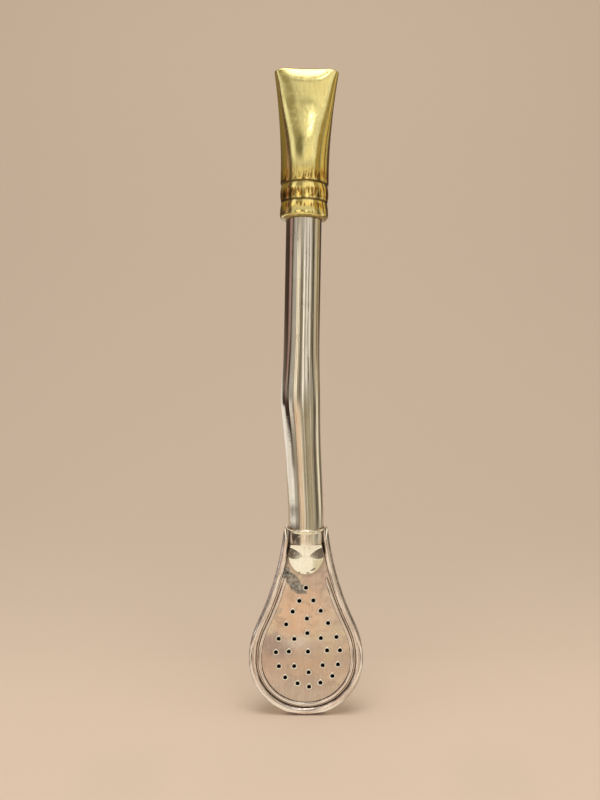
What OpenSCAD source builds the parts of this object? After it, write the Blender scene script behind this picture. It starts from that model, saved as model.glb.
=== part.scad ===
// Bombilla, a metal drinking straw for mate: a drop-shaped strainer spoon, a bent stem tube and a
// flattened mouthpiece. Sizes are in millimetres. X runs to the right as seen from the front, Y runs
// to the back and Z runs up along the lower stem. The front face of the spoon's plate lies in y = 0
// and the lowest point of the spoon is at the origin.

/* [Stem tube] */
// Outside radius of the tube
tube_r = 5; // [4:0.1:6]
// Wall of the tube
tube_wall = 0.75; // [0.5:0.05:1.2]
// Radial clearance of the two push fits
fit_gap = 0.05; // [0.02:0.01:0.1]
// Radius of the drawn-in spigot where it leaves the tube's step
spigot_r = 4.25; // [3.8:0.05:4.5]
// Radius of the spigot's lower end
taper_r = 3.9; // [3.4:0.05:4.2]
// Wall of the spigot
spigot_wall = 0.5; // [0.4:0.05:0.8]
// Height of the spigot
spigot_h = 1.8; // [1:0.1:3]
// Height of the step from the spigot to the tube
step_h = 0.8; // [0.6:0.1:2]
// Straight length from the step to the first bend
lower_len = 3.4; // [2.6:0.1:12]
// Sideways set above the neck, in degrees to the left
set_turn = 2.6; // [0.5:0.1:8]
// Radius of the bend at the set
set_r = 80; // [40:1:150]
// Straight length between the two bends
mid_len = 26; // [10:0.5:60]
// Turn of the main bend in degrees
kink_turn = 9.7; // [2:0.1:25]
// Way the main bend heads, in degrees from the right toward the back
kink_heading = 68; // [0:1:180]
// Radius of the main bend
kink_r = 60; // [30:1:120]
// Straight length from the main bend to the mouthpiece
bare_len = 44; // [25:0.5:80]
// Thickening of the tube's wall at a bend, outside and inside
bend_swell = 0.05; // [0.02:0.01:0.2]
// Lap of a straight stretch into a bend
bend_lap = 0.6; // [0.3:0.1:1]

/* [Mouthpiece] */
// Wall of the sleeve that slides on the stem
sleeve_wall = 0.8; // [0.5:0.05:1.5]
// Half width of the mouth across its flat
mouth_half_w = 9.1; // [7:0.1:12]
// Half depth of the mouth
mouth_half_d = 3.4; // [2.6:0.1:5]
// Wall of the shell
mouth_wall = 0.9; // [0.6:0.05:1]
// Height of the shell
mouth_h = 32.8; // [24:0.2:50]
// Height of the shell's round end before it starts to flatten
mouth_round_h = 4.5; // [4:0.5:10]
// How late the shell widens toward the mouth, as a power
mouth_flare = 1.75; // [1:0.05:3]
// How square the sections become at the mouth
mouth_square = 0.25; // [0:0.05:0.4]
// Height of the band
band_h = 5; // [3:0.1:6.5]
// Height of the collar
collar_h = 4.8; // [3:0.1:6]
// Rounding of the collar's lower lip
collar_round = 1.5; // [0.3:0.1:1.6]
// Bevel of the edges that meet at a joint line
joint_bevel = 0.35; // [0.1:0.05:0.6]
// Length of the stem inside the mouthpiece
mouth_insert = 12; // [11:0.2:13]
// Floor of the collar under the sleeve
floor_t = 0.8; // [0.5:0.1:1.5]
// Radial clearance of the soldered seats
seat_gap = 0.05; // [0.02:0.01:0.1]

/* [Spoon] */
// Radius of the spoon's round end
spoon_r = 16.4; // [14:0.1:20]
// Radius of the shoulder above the widest place
shoulder_r = 26; // [22:0.5:32]
// Height of the spoon from its tip to the mouth of the socket
spoon_h = 55; // [48:0.5:70]
// Room beside the socket at the neck, for the edge of the plate and the shell
neck_ear = 0.7; // [0.65:0.05:1.2]
// Lean of the outline at the neck in degrees
neck_lean = 6; // [2:0.5:9]
// Thickness of the front plate
plate_t = 0.8; // [0.5:0.1:1.4]
// Thickness of the back shell
sheet_t = 0.6; // [0.4:0.05:0.65]
// Depth of the back shell behind the plate
bowl_d = 6.6; // [5.5:0.1:10]
// Height of the deepest place of the back shell
bowl_low = 20; // [14:0.5:28]

/* [Socket] */
// Wall of the socket tube
socket_wall = 0.45; // [0.3:0.05:0.8]
// Height of the socket tube
socket_h = 3.8; // [3.6:0.1:7]
// Thickness of each stop that the tube rests on
stop_t = 0.8; // [0.5:0.1:1.5]
// Swell of the nose cap past the lower end of the socket
nose_swell = 0.45; // [0.1:0.05:1]
// Height from the widest place of the nose up to the socket
nose_rise = 4.4; // [2:0.1:5]
// Wall of the nose cap
nose_wall = 0.5; // [0.3:0.05:0.8]
// Half thickness of the neck lip
lip_r = 0.3; // [0.2:0.05:0.4]
// Height of the straight part of the neck lip
lip_h = 0.5; // [0.4:0.05:1]

/* [Rim] */
// Radius of the half-round outer rim
rim_r = 1.1; // [0.7:0.05:1.4]
// Gap between the two rims
rim_gap = 0.3; // [0.1:0.05:0.8]
// Radius of the half-round inner rim
bead_r = 0.6; // [0.3:0.05:0.8]
// Height at which the inner rim ends
bead_top = 41; // [34:0.5:44]
// Thinning of both rims toward the neck
rim_thin = 0.03; // [0.02:0.01:0.1]

/* [Strainer holes] */
// Radius of a hole
hole_r = 0.6; // [0.4:0.05:0.8]
// Lean of the pattern in degrees
hole_lean = 1.8; // [0:0.1:3]
// Distance from the nose cap down to the top hole
hole_drop = 4.25; // [3:0.05:8]
// Height of the bottom hole over the tip
hole_low = 8.3; // [6:0.1:10]

/* [Hidden] */
$fn = 64;
// Bore that the tube slides in, and outside radius of the socket at its mouth and at its lower end
bore_r = tube_r + fit_gap;
socket_r = bore_r + socket_wall;
waist_r = taper_r + fit_gap + socket_wall;
socket_z = spoon_h - socket_h;
// Ball of the nose cap, and the flat arc from its widest place up to the socket
nose_r = waist_r + nose_swell;
nose_z = socket_z - nose_rise;
nose_arc_r = (nose_rise * nose_rise + nose_swell * nose_swell) / (2 * nose_swell);
// Inside radius of the tube and of its lower end
way_r = tube_r - tube_wall;
spigot_way = spigot_r - spigot_wall;
taper_way = taper_r - spigot_wall;
// Length of the stem below its first bend
end_len = spigot_h + step_h + lower_len;
// Outside radius of the sleeve, bore around it, and outside radius of the collar, the band and the
// round end of the shell
sleeve_r = bore_r + sleeve_wall;
seat_r = sleeve_r + seat_gap;
mouth_r = seat_r + mouth_wall;
// Outline of the spoon: three arcs on each side that run into each other
neck_half = socket_r + neck_ear;
shoulder_c = [spoon_r - shoulder_r, spoon_r];
neck_p = [neck_half, spoon_h];
neck_n = [cos(neck_lean), sin(neck_lean)];
neck_q = neck_p - shoulder_c;
neck_r = (neck_q * neck_q - shoulder_r * shoulder_r) / (2 * (shoulder_r - neck_q * neck_n));
neck_c = neck_p + neck_r * neck_n;
turn_a = atan2(neck_c[1] - shoulder_c[1], neck_c[0] - shoulder_c[0]);
// Turn of the shoulder's wire past the place where the neck's wire starts
rim_lap_a = 1;
// Depth of the back shell at the neck, behind the socket
neck_d = socket_r + seat_gap + sheet_t - plate_t;
// Rows and steps of the back shell and of the mouthpiece shell
bowl_rows = 22;
bowl_steps = 20;
mouth_rows = 12;
mouth_steps = 40;
// Holes as half spacing and height over the centre of the round end; the heights above and below it
// stretch with the room up to the nose cap and down to the tip
hole_rows = [
    [0, 21.3], [2, 17.5], [4, 14.4], [6, 10.7], [8.3, 6.5],
    [9.2, 2.5], [8.5, -1.7], [6.8, -5.1], [3.3, -7], [0, -8.1],
    [0, 12.2], [3.8, 6.3], [5.5, 2.6], [4.1, -1.8], [0, -3.8],
    [0, 7.9], [0, 2.4]
];
hole_up = (nose_z - nose_r - hole_drop - spoon_r) / max([for (row = hole_rows) row[1]]);
hole_down = (hole_low - spoon_r) / min([for (row = hole_rows) row[1]]);
function hole_height(h) = h * (h > 0 ? hole_up : hole_down);

// Half width of the spoon at height z, inset from its edge
function side(z, inset) =
    z < spoon_r
    ? sqrt(max(0, pow(spoon_r - inset, 2) - pow(z - spoon_r, 2)))
    : z < spoon_r + (shoulder_r - inset) * sin(turn_a)
    ? shoulder_c[0] + sqrt(pow(shoulder_r - inset, 2) - pow(z - spoon_r, 2))
    : neck_c[0] - sqrt(pow(neck_r + inset, 2) - pow(z - neck_c[1], 2));

// Points of the right-hand outline from the tip up to the neck
function arc_points(c, r, from, to, steps) =
    [for (k = [0 : steps - 1]) let (a = from + (to - from) * k / steps) c + r * [cos(a), sin(a)]];
outline_right = concat(
    arc_points([0, spoon_r], spoon_r, -90, 0, 18),
    arc_points(shoulder_c, shoulder_r, 0, turn_a, 6),
    arc_points(neck_c, neck_r, 180 + turn_a, 180 + neck_lean, 10),
    [neck_p]
);
outline_count = len(outline_right);
outline_left = [for (k = [outline_count - 1 : -1 : 1]) [-outline_right[k][0], outline_right[k][1]]];

// Turns the drawing plane upright, with its thickness toward the front
module upright() {
    rotate([90, 0, 0]) children();
}

// Profile of the stem's lower end, of its bore or of the socket around it: spigot, step and straight
function end_profile(end, spigot, tube, low, high) = [
    [0, -low],
    [end - (spigot - end) * low / spigot_h, -low],
    [spigot, spigot_h],
    [tube, spigot_h + step_h],
    [tube, high],
    [0, high]
];

// Solid of the socket, with its top at a height over the stem's lower end
module socket_solid(high) {
    more = fit_gap + socket_wall;
    stem_frame() rotate_extrude()
        polygon(end_profile(waist_r, spigot_r + more, tube_r + more, stop_t, high));
}

// Profile of the nose cap, inset from its outside: a quarter ball below and a flat arc above
module nose_profile(inset, high) {
    intersection() {
        circle(r = nose_r - inset);
        translate([0, -nose_r]) square([nose_r, nose_r + nose_rise / 2]);
    }
    intersection() {
        translate([nose_r - nose_arc_r, 0]) circle(r = nose_arc_r - inset);
        square([nose_r, high]);
    }
}

// Space that the socket and the nose take up
module socket_space() {
    socket_solid(socket_h);
    translate([0, 0, nose_z]) rotate_extrude() nose_profile(0, nose_rise);
}

// Half-round wire of radius r along the spoon's edge, with its middle inset from the edge
module half_round(at, r) {
    intersection() {
        translate([at, 0]) circle(r = r);
        translate([at - r, 0]) square([2 * r, r]);
    }
}

// Shoulder and neck of a rim; the neck's wire is a little thinner and starts inside the shoulder's
module rim_side(inset, r) {
    translate(shoulder_c) rotate_extrude(angle = turn_a + rim_lap_a)
        half_round(shoulder_r - inset, r);
    translate(neck_c) rotate([0, 0, 180 + neck_lean])
        rotate_extrude(angle = turn_a - neck_lean) half_round(neck_r + inset, r - rim_thin);
}

module rim(inset, r) {
    upright() {
        translate([0, spoon_r]) rotate([0, 0, 180]) rotate_extrude(angle = 180)
            half_round(spoon_r - inset, r);
        rim_side(inset, r);
        mirror([1, 0, 0]) rim_side(inset, r);
    }
}

// Front plate with the strainer holes and the slot for the socket
module spoon_front_plate() {
    color("#c9b8a4") difference() {
        upright() translate([0, 0, -plate_t]) linear_extrude(plate_t)
            polygon(concat(outline_right, outline_left));
        socket_solid(socket_h);
        translate([0, 0, nose_z]) rotate_extrude() nose_profile(nose_wall, nose_rise + stop_t / 2);
        upright() translate([0, nose_z - nose_r - hole_drop]) rotate([0, 0, hole_lean])
            for (row = hole_rows)
                for (way = row[0] > 0 ? [-1, 1] : [1])
                    translate([way * row[0], hole_height(row[1]) - hole_height(hole_rows[0][1])])
                        cylinder(r = hole_r, h = 3 * plate_t, center = true);
    }
}

// Back shell: half-ellipse sections that follow the outline, from a point at the tip to the neck
function bowl_z(i, inset) = inset + (spoon_h - inset) * (1 - cos(90 * i / bowl_rows));
function bowl_depth(z, inset) =
    z < bowl_low
    ? (bowl_d - inset) * sqrt(1 - pow((bowl_low - z) / (bowl_low - inset), 2))
    : neck_d - inset + (bowl_d - neck_d) * (0.5 + 0.5 * cos(180 * (z - bowl_low) / (spoon_h - bowl_low)));
function bowl_point(z, a, inset) = [side(z, inset) * cos(a), plate_t + bowl_depth(z, inset) * sin(a), z];
function bowl_grid(inset) =
    [for (i = [1 : bowl_rows], j = [0 : bowl_steps])
        bowl_point(bowl_z(i, inset), 180 * j / bowl_steps, inset)];
// Number of a point: layer 0 is the outside, layer 1 the inside, and row 0 is the pole at the tip
function bowl_at(layer, i, j) =
    i == 0 ? layer : 2 + (layer * bowl_rows + i - 1) * (bowl_steps + 1) + j;

module spoon_back_shell() {
    poles = [[0, plate_t, 0], [0, plate_t, sheet_t]];
    steps = [0 : bowl_steps - 1];
    tip = [for (j = steps) each [
        [0, bowl_at(0, 1, j), bowl_at(0, 1, j + 1)],
        [1, bowl_at(1, 1, j + 1), bowl_at(1, 1, j)]
    ]];
    skin = [for (i = [1 : bowl_rows - 1], j = steps) each [
        [bowl_at(0, i, j), bowl_at(0, i + 1, j), bowl_at(0, i + 1, j + 1)],
        [bowl_at(0, i, j), bowl_at(0, i + 1, j + 1), bowl_at(0, i, j + 1)],
        [bowl_at(1, i, j), bowl_at(1, i + 1, j + 1), bowl_at(1, i + 1, j)],
        [bowl_at(1, i, j), bowl_at(1, i, j + 1), bowl_at(1, i + 1, j + 1)]
    ]];
    seam = [for (i = [0 : bowl_rows - 1]) each [
        [bowl_at(0, i, 0), bowl_at(1, i, 0), bowl_at(1, i + 1, 0), bowl_at(0, i + 1, 0)],
        [bowl_at(0, i, bowl_steps), bowl_at(0, i + 1, bowl_steps),
            bowl_at(1, i + 1, bowl_steps), bowl_at(1, i, bowl_steps)]
    ]];
    top = [for (j = steps)
        [bowl_at(0, bowl_rows, j), bowl_at(1, bowl_rows, j),
            bowl_at(1, bowl_rows, j + 1), bowl_at(0, bowl_rows, j + 1)]];
    color("#b9ab9a") polyhedron(
        points = concat(poles, bowl_grid(0), bowl_grid(sheet_t)),
        faces = concat(tip, skin, seam, top)
    );
}

module outer_rim() {
    color("#d8c9b4") difference() {
        rim(rim_r, rim_r);
        socket_space();
    }
}

module inner_rim() {
    color("#e0d2bf") difference() {
        rim(2 * rim_r + rim_gap + bead_r, bead_r);
        socket_space();
        translate([-spoon_r, -spoon_r, bead_top]) cube([2 * spoon_r, 2 * spoon_r, spoon_h]);
    }
}

// Socket tube, with the stop that the stem rests on
module neck_socket() {
    color("#d2c6b6") difference() {
        socket_solid(socket_h - stop_t);
        stem_frame() {
            rotate_extrude()
                polygon(end_profile(taper_r + fit_gap, spigot_r + fit_gap, bore_r, 0, socket_h));
            translate([0, 0, -2 * stop_t]) cylinder(r = taper_way, h = 3 * stop_t);
        }
    }
}

// Hollow nose in front of the plate, below the socket
module nose_cap() {
    color("#e6dac8") translate([0, 0, nose_z]) rotate([0, 0, 180]) rotate_extrude(angle = 180)
        difference() {
            nose_profile(0, nose_rise);
            nose_profile(nose_wall, nose_rise + nose_wall);
        }
}

module neck_lip() {
    color("#e6dac8") translate([0, 0, spoon_h]) rotate_extrude() translate([bore_r, 0]) {
        square([2 * lip_r, lip_h]);
        translate([lip_r, lip_h]) circle(r = lip_r);
    }
}

// Places what follows at the end of a bend that turns toward a heading
module after_bend(heading, turn, r) {
    rotate([0, 0, heading]) translate([r, 0, 0]) rotate([0, turn, 0]) translate([-r, 0, 0])
        rotate([0, 0, -heading]) children();
}

// Bend of round section that starts upward and turns toward a heading
module bend(heading, turn, r, around) {
    rotate([0, 0, heading]) translate([r, 0, 0]) rotate([90, 0, 0]) rotate([0, 0, 180 - turn])
        rotate_extrude(angle = turn) translate([r, 0]) circle(r = around);
}

// Start of the stem on its stop, the main bend and the lower end of the mouthpiece
module stem_frame() {
    translate([0, 0, socket_z + stop_t]) children();
}

module kink_frame() {
    stem_frame() translate([0, 0, end_len]) after_bend(180, set_turn, set_r)
        translate([0, 0, mid_len]) children();
}

module upper_frame() {
    kink_frame() after_bend(kink_heading, kink_turn, kink_r) children();
}

module mouth_frame() {
    upper_frame() translate([0, 0, bare_len]) children();
}

// Solid run along the stem, with its straights lapped into its bends and longer at both ends
module stem_run(end, spigot, straight_r, bend_r, longer) {
    stem_frame() {
        rotate_extrude() polygon(end_profile(end, spigot, straight_r, longer, end_len + bend_lap));
        translate([0, 0, end_len]) bend(180, set_turn, set_r, bend_r);
    }
    kink_frame() {
        translate([0, 0, -mid_len - bend_lap]) cylinder(r = straight_r, h = mid_len + 2 * bend_lap);
        bend(kink_heading, kink_turn, kink_r, bend_r);
    }
    upper_frame() translate([0, 0, -bend_lap])
        cylinder(r = straight_r, h = bend_lap + bare_len + mouth_insert + longer);
}

module stem_tube() {
    color("#c4bcb0") difference() {
        stem_run(taper_r, spigot_r, tube_r, tube_r + bend_swell, 0);
        stem_run(taper_way, spigot_way, way_r, way_r - bend_swell, 1);
    }
}

// Tube inside the mouthpiece that slides on the stem down to its stop
module mouthpiece_sleeve() {
    color("#b58a3c") mouth_frame() difference() {
        translate([0, 0, floor_t]) cylinder(r = sleeve_r, h = mouth_insert + stop_t - floor_t);
        translate([0, 0, floor_t - 1]) cylinder(r = bore_r, h = mouth_insert - floor_t + 1);
        cylinder(r = way_r, h = mouth_insert + 2 * stop_t);
    }
}

// Cut of 45 degrees off an outer edge at height z
module bevel_at(z) {
    translate([mouth_r, z]) rotate(45) square(joint_bevel * sqrt(2), center = true);
}

module mouthpiece_collar() {
    color("#c9a046") mouth_frame() rotate_extrude() difference() {
        union() {
            square([mouth_r - collar_round, collar_h]);
            translate([mouth_r - collar_round, collar_round]) circle(r = collar_round);
            translate([0, collar_round]) square([mouth_r, collar_h - collar_round]);
        }
        translate([-1, -1]) square([bore_r + seat_gap + 1, collar_h + 2]);
        translate([0, floor_t]) square([seat_r, collar_h]);
        bevel_at(collar_h);
    }
}

module mouthpiece_band() {
    color("#c9a046") mouth_frame() translate([0, 0, collar_h]) rotate_extrude() difference() {
        translate([seat_r, 0]) square([mouth_wall, band_h]);
        bevel_at(0);
        bevel_at(band_h);
    }
}

// Shell: rounded sections that widen across and narrow in depth toward the mouth
function ease(t) = t * t * (3 - 2 * t);
function flat_share(z) = max(0, min(1, (z - mouth_round_h) / (mouth_h - mouth_round_h)));
function mouth_across(z) = mouth_r + (mouth_half_w - mouth_r) * pow(flat_share(z), mouth_flare);
function mouth_deep(z) = mouth_r + (mouth_half_d - mouth_r) * ease(flat_share(z));
function rounded(c, power) = sign(c) * pow(abs(c), power);
function mouth_point(z, inset, a) = [
    (mouth_across(z) - inset) * rounded(cos(a), 1 - mouth_square * flat_share(z)),
    (mouth_deep(z) - inset) * rounded(sin(a), 1 - mouth_square * flat_share(z)),
    z
];

module mouthpiece_shell() {
    lip = mouth_wall / 2;
    straight = mouth_h - lip;
    // Height and inset of each section, up the outside, over the lip and down the inside
    sections = concat(
        [[0, joint_bevel]],
        [for (k = [0 : mouth_rows]) [joint_bevel + (straight - joint_bevel) * k / mouth_rows, 0]],
        [for (a = [45 : 45 : 135]) [straight + lip * sin(a), lip - lip * cos(a)]],
        [for (k = [mouth_rows : -1 : 0]) [straight * k / mouth_rows, mouth_wall]]
    );
    count = len(sections);
    points = [for (s = sections, j = [0 : mouth_steps - 1]) mouth_point(s[0], s[1], 360 * j / mouth_steps)];
    faces = [for (i = [0 : count - 1], j = [0 : mouth_steps - 1])
        let (
            up = (i + 1) % count,
            on = (j + 1) % mouth_steps,
            p = i * mouth_steps + j,
            q = i * mouth_steps + on,
            r = up * mouth_steps + on,
            s = up * mouth_steps + j
        )
        each [[p, s, r], [p, r, q]]
    ];
    color("#cfa850") mouth_frame() translate([0, 0, collar_h + band_h])
        polyhedron(points = points, faces = faces);
}

spoon_front_plate();
spoon_back_shell();
outer_rim();
inner_rim();
neck_socket();
nose_cap();
neck_lip();
stem_tube();
mouthpiece_sleeve();
mouthpiece_collar();
mouthpiece_band();
mouthpiece_shell();
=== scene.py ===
import bpy
import numpy as np
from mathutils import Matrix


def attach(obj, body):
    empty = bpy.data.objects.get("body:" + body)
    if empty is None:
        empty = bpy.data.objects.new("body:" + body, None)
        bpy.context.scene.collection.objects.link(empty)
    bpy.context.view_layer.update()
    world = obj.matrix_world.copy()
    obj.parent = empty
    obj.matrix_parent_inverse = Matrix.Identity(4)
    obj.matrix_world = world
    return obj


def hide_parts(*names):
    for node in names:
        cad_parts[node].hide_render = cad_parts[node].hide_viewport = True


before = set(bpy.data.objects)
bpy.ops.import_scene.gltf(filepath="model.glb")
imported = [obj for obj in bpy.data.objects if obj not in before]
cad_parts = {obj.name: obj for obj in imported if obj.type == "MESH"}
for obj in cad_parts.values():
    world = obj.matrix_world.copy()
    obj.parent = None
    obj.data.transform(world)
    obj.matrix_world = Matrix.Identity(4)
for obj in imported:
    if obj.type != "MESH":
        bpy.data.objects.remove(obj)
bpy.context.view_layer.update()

# Sizes of the part in millimetres; MM turns them into the frame's metres
MM = 0.001
ROUND_STEPS = 96
THINNEST = 0.0004

# Stem tube: spigot, step and straight, a set to the left, a straight, the main bend and a straight
TUBE_R = 5.0
TUBE_WALL = 0.75
SPIGOT_R = 4.25
TAPER_R = 3.9
SPIGOT_WALL = 0.5
SPIGOT_H = 2.6
STEP_H = 0.7
STEM_LOW = 52.0
LOWER_LEN = 2.7
SET_TURN = np.radians(2.6)
SET_HEADING = np.radians(180)
SET_R = 80.0
MID_LEN = 26.0
KINK_TURN = np.radians(9.7)
KINK_HEADING = np.radians(68)
KINK_R = 60.0
BARE_LEN = 44.0
MOUTH_INSERT = 12.0
TUBE_EDGE = 0.15

# The tube's section at the main bend: how it swells and flattens, and is let out on the left just below
BEND_SPAN = 9.0
BEND_WIDER = 0.36
BEND_FLATTER = 0.30
BEND_LEFT = 0.22
LEFT_DOWN = 1.5
LEFT_SPAN = 5.0
LEFT_POWER = 1.6

# Mouthpiece, in its own frame with z up from the collar's lower lip
MOUTH_R = 6.8
MOUTH_WALL = 0.9
MOUTH_HALF_W = 9.1
MOUTH_HALF_D = 3.4
MOUTH_H = 32.8
MOUTH_ROUND_H = 4.5
MOUTH_FLARE = 1.75
BAND_H = 5.0
COLLAR_H = 4.8
COLLAR_ROUND = 1.5
COLLAR_EASE = 0.2
JOINT_BEVEL = 0.35
EDGE_H = 0.8
MOUTH_SQUARE = 0.55
SQUARE_RISE = 1.3
ROLL_H = 5.2
ROLL_IN = 0.34
ROLL_POWER = 2.2
ROLL_SPREAD = 2.5
CROWN = 0.6
CROWN_START = 0.65
CROWN_POWER = 6
RING_BULGE = 0.32
DEEP_RISE = 0.8
DEEP_STEP = 0.45
FLOOR_T = 0.8
FIT_GAP = 0.05
SLEEVE_WALL = 0.8
STOP_T = 0.8

# Spoon
SPOON_R = 16.4
SHOULDER_R = 26.0
SPOON_H = 55.0
NECK_HALF = 6.2
NECK_LEAN = np.radians(6)
PLATE_T = 0.8
SHEET_T = 0.6
BOWL_D = 6.6
BOWL_LOW = 20.0
NECK_D = 5.35
RIM_R = 1.1
RIM_GAP = 0.3
RIM_FADE = 5.5
RIM_END = 0.35
BEAD_R = 0.6
BEAD_TOP = 41.0

# Neck socket, lip, nose cap and ears; each pit on the nose has a place, a half size and a lean in degrees
SOCKET_Z = 51.2
SOCKET_WALL = 0.45
NOSE_WALL = 0.5
LIP_R = 0.298
LIP_Z = 55.45
NECK_SIDE_R = 4.75
NOSE_TOP_R = 4.3
NOSE_TOP_D = 4.37
NOSE_TOP_BOW = 0.033
NOSE_MEET = (0.6, 48.0)
NOSE_FLAT_SLOPE = (0.36, 0.30)
NOSE_TONGUE_SLOPE = 0.65
NOSE_TONGUE_R = 7.0
NOSE_CREASE = 0.01
NOSE_EDGE_H = 0.2
NOSE_EDGE_SLOPE = 2.0
NOSE_LOW = 41.6
NOSE_WIDE = 4.9
EAR_R = 0.38
EAR_STAND = 0.75
EAR_LEAN = 0.13
EAR_LOW = 49.4
EAR_OVER = 0.2
EAR_OFF = (0.85, 0.4)
NOSE_PITS = [((2.0, 43.4), (1.2, 0.45), -35), ((0.6, 42.2), (0.7, 0.3), 0), ((-1.9, 42.4), (0.4, 0.3), 0)]

# Strainer holes: radius, the burr's profile from the hole's edge outward, lean of the pattern, height of the
# top hole over the tip, and each row as half spacing and height over the centre of the round end
HOLE_R = 0.6
BURR = [(0.0, 0.02), (0.0, -0.05), (0.10, -0.08), (0.22, -0.05), (0.38, 0.0), (0.38, 0.02)]
BURR_STEPS = 24
HOLE_LEAN = np.radians(1.8)
HOLE_TOP = 37.7
HOLE_ROWS = [
    (0, 21.3), (2, 17.5), (4, 14.4), (6, 10.7), (8.3, 6.5), (9.2, 2.5), (8.5, -1.7), (6.8, -5.1),
    (3.3, -7), (0, -8.1), (0, 12.2), (3.8, 6.3), (5.5, 2.6), (4.1, -1.8), (0, -3.8), (0, 7.9), (0, 2.4),
]


# Mesh helpers

def smooth(t):
    """Ease from 0 to 1: 3 t squared less 2 t cubed, held at both ends."""
    t = np.clip(t, 0, 1)
    return t * t * (3 - 2 * t)


def grid_faces(rows, cols, wrap_rows, wrap_cols):
    """Quads between neighbouring points of a grid; a wrapped side joins its last line to its first."""
    index = np.arange(rows * cols).reshape(rows, cols)
    if wrap_rows:
        index = np.vstack([index, index[:1]])
    if wrap_cols:
        index = np.hstack([index, index[:, :1]])
    corners = [index[:-1, :-1], index[:-1, 1:], index[1:, 1:], index[1:, :-1]]
    return np.stack(corners, -1).reshape(-1, 4)


def strip_faces(line):
    """Quads that close a flat end whose closed outline runs out along one edge and back along the other."""
    half = len(line) // 2
    out, back = line[:half], line[::-1][:half]
    return np.stack([out[:-1], out[1:], back[1:], back[:-1]], -1)


def volume_of(points, faces):
    """Signed volume: the sum over triangles of the triple product of their corners, over six."""
    first, second = points[faces[:, [0, 1, 2]]], points[faces[:, [0, 2, 3]]]
    both = np.concatenate([first, second])
    return np.einsum("ij,ij->i", both[:, 0], np.cross(both[:, 1], both[:, 2])).sum() / 6


def placed(name, data):
    """New object in the scene."""
    thing = bpy.data.objects.new(name, data)
    bpy.context.scene.collection.objects.link(thing)
    return thing


def make_piece(name, points, faces, lay=None, sharp=40, second=None):
    """Closed piece from points in millimetres; faces are turned outward, doubled points are merged, and
    the attribute lay keeps each point's place on the unbent piece, in metres. Faces marked in second take
    the piece's second material."""
    points = points.reshape(-1, 3)
    lay = points if lay is None else lay.reshape(-1, 3)
    if volume_of(points, faces) < 0:
        faces = faces[:, ::-1]
    _, first, merged = np.unique(np.round(points, 5), axis=0, return_index=True, return_inverse=True)
    faces = merged.reshape(-1)[faces]
    rows = [list(dict.fromkeys(face)) for face in faces.tolist()]
    whole = np.array([len(row) > 2 for row in rows])
    rows = [row for row in rows if len(row) > 2]
    mesh = bpy.data.meshes.new(name)
    mesh.from_pydata((points[first] * MM).tolist(), [], rows, shade_flat=False)
    if second is not None:
        mesh.polygons.foreach_set("material_index", second[whole].astype(np.int32))
    mesh.set_sharp_from_angle(angle=np.radians(sharp))
    kept = mesh.attributes.new("lay", "FLOAT_VECTOR", "POINT")
    kept.data.foreach_set("vector", (lay[first] * MM).astype(np.float32).ravel())
    mesh.update()
    return placed(name, mesh)


def dress(piece, material, body, slot, *nodes, inside=None):
    """Gives a piece its material, its body and the nodes that it stands for; the slot is not used."""
    piece.data.materials.append(material)
    if inside:
        piece.data.materials.append(inside)
    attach(piece, body)
    if nodes:
        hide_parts(*nodes)
    return piece


def arc(centre, r, start, end, steps):
    """Points on a circle from one angle to another, in degrees, both ends included."""
    a = np.radians(np.linspace(start, end, steps))
    return np.stack([centre[0] + r * np.cos(a), centre[1] + r * np.sin(a)], -1)


def revolve(profile, steps):
    """A profile of radius and height carried round the z axis; rows follow the profile."""
    a = np.radians(np.arange(steps) * 360.0 / steps)
    r, z = profile[:, :1], profile[:, 1:]
    return np.stack([r * np.cos(a), r * np.sin(a), z + 0 * a], -1)


def round_piece(name, profile, place=lambda p: p):
    """Closed ring: a closed profile carried all the way round, then put in its place."""
    points = revolve(profile, ROUND_STEPS)
    faces = grid_faces(len(profile), ROUND_STEPS, True, True)
    return make_piece(name, place(points), faces, points)


def capped_faces(rows, cols):
    """Faces of a closed section carried along a path; a fan about its last point closes each end."""
    fan = np.arange(cols)
    tip = np.full(cols, cols - 1)
    cap = np.stack([fan, np.roll(fan, -1), tip, tip], -1)
    return np.concatenate([grid_faces(rows, cols, False, True), cap[:, ::-1], cap + (rows - 1) * cols])


def two_layers(layer, wall):
    """Points and faces of a shell open at both ends: its outside layer, and back along the inside one."""
    points = np.concatenate([layer(0), layer(wall)[:, ::-1]], 1)
    return points, grid_faces(*points.shape[:2], False, True)


def half_round(steps):
    """Section of a half-round strip: side and bulge along half a circle, closed by its middle."""
    a = np.linspace(0, np.pi, steps)
    return np.append(np.cos(a), 0), np.append(np.sin(a), 0)


# Stem

def turned(heading, angle):
    """Rotations that tip the z axis toward a heading by each angle."""
    k = np.array([-np.sin(heading), np.cos(heading), 0])
    cross = np.array([[0, -k[2], k[1]], [k[2], 0, -k[0]], [-k[1], k[0], 0]])
    c, s = np.cos(angle)[:, None, None], np.sin(angle)[:, None, None]
    return c * np.eye(3) + (1 - c) * np.outer(k, k) + s * cross


def stem_line(s):
    """Centre and rotation at each distance along the stem: straights and arcs chained end to end, each
    adding its own offset and turn for the part of it that lies below the distance."""
    centre = np.zeros((len(s), 3))
    centre[:, 2] = STEM_LOW
    rotation = np.tile(np.eye(3), (len(s), 1, 1))
    start = 0.0
    for heading, angle, r, length in STEM_RUNS:
        part = np.clip(s - start, 0, length)
        a = part * angle / length
        sweep = np.stack([r * (1 - np.cos(a)), r * np.sin(a)], -1) if angle else np.stack([0 * a, part], -1)
        offset = np.stack([sweep[:, 0] * np.cos(heading), sweep[:, 0] * np.sin(heading), sweep[:, 1]], -1)
        centre = centre + np.einsum("nij,nj->ni", rotation, offset)
        rotation = rotation @ turned(heading, a)
        start += length
    return centre, rotation


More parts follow.
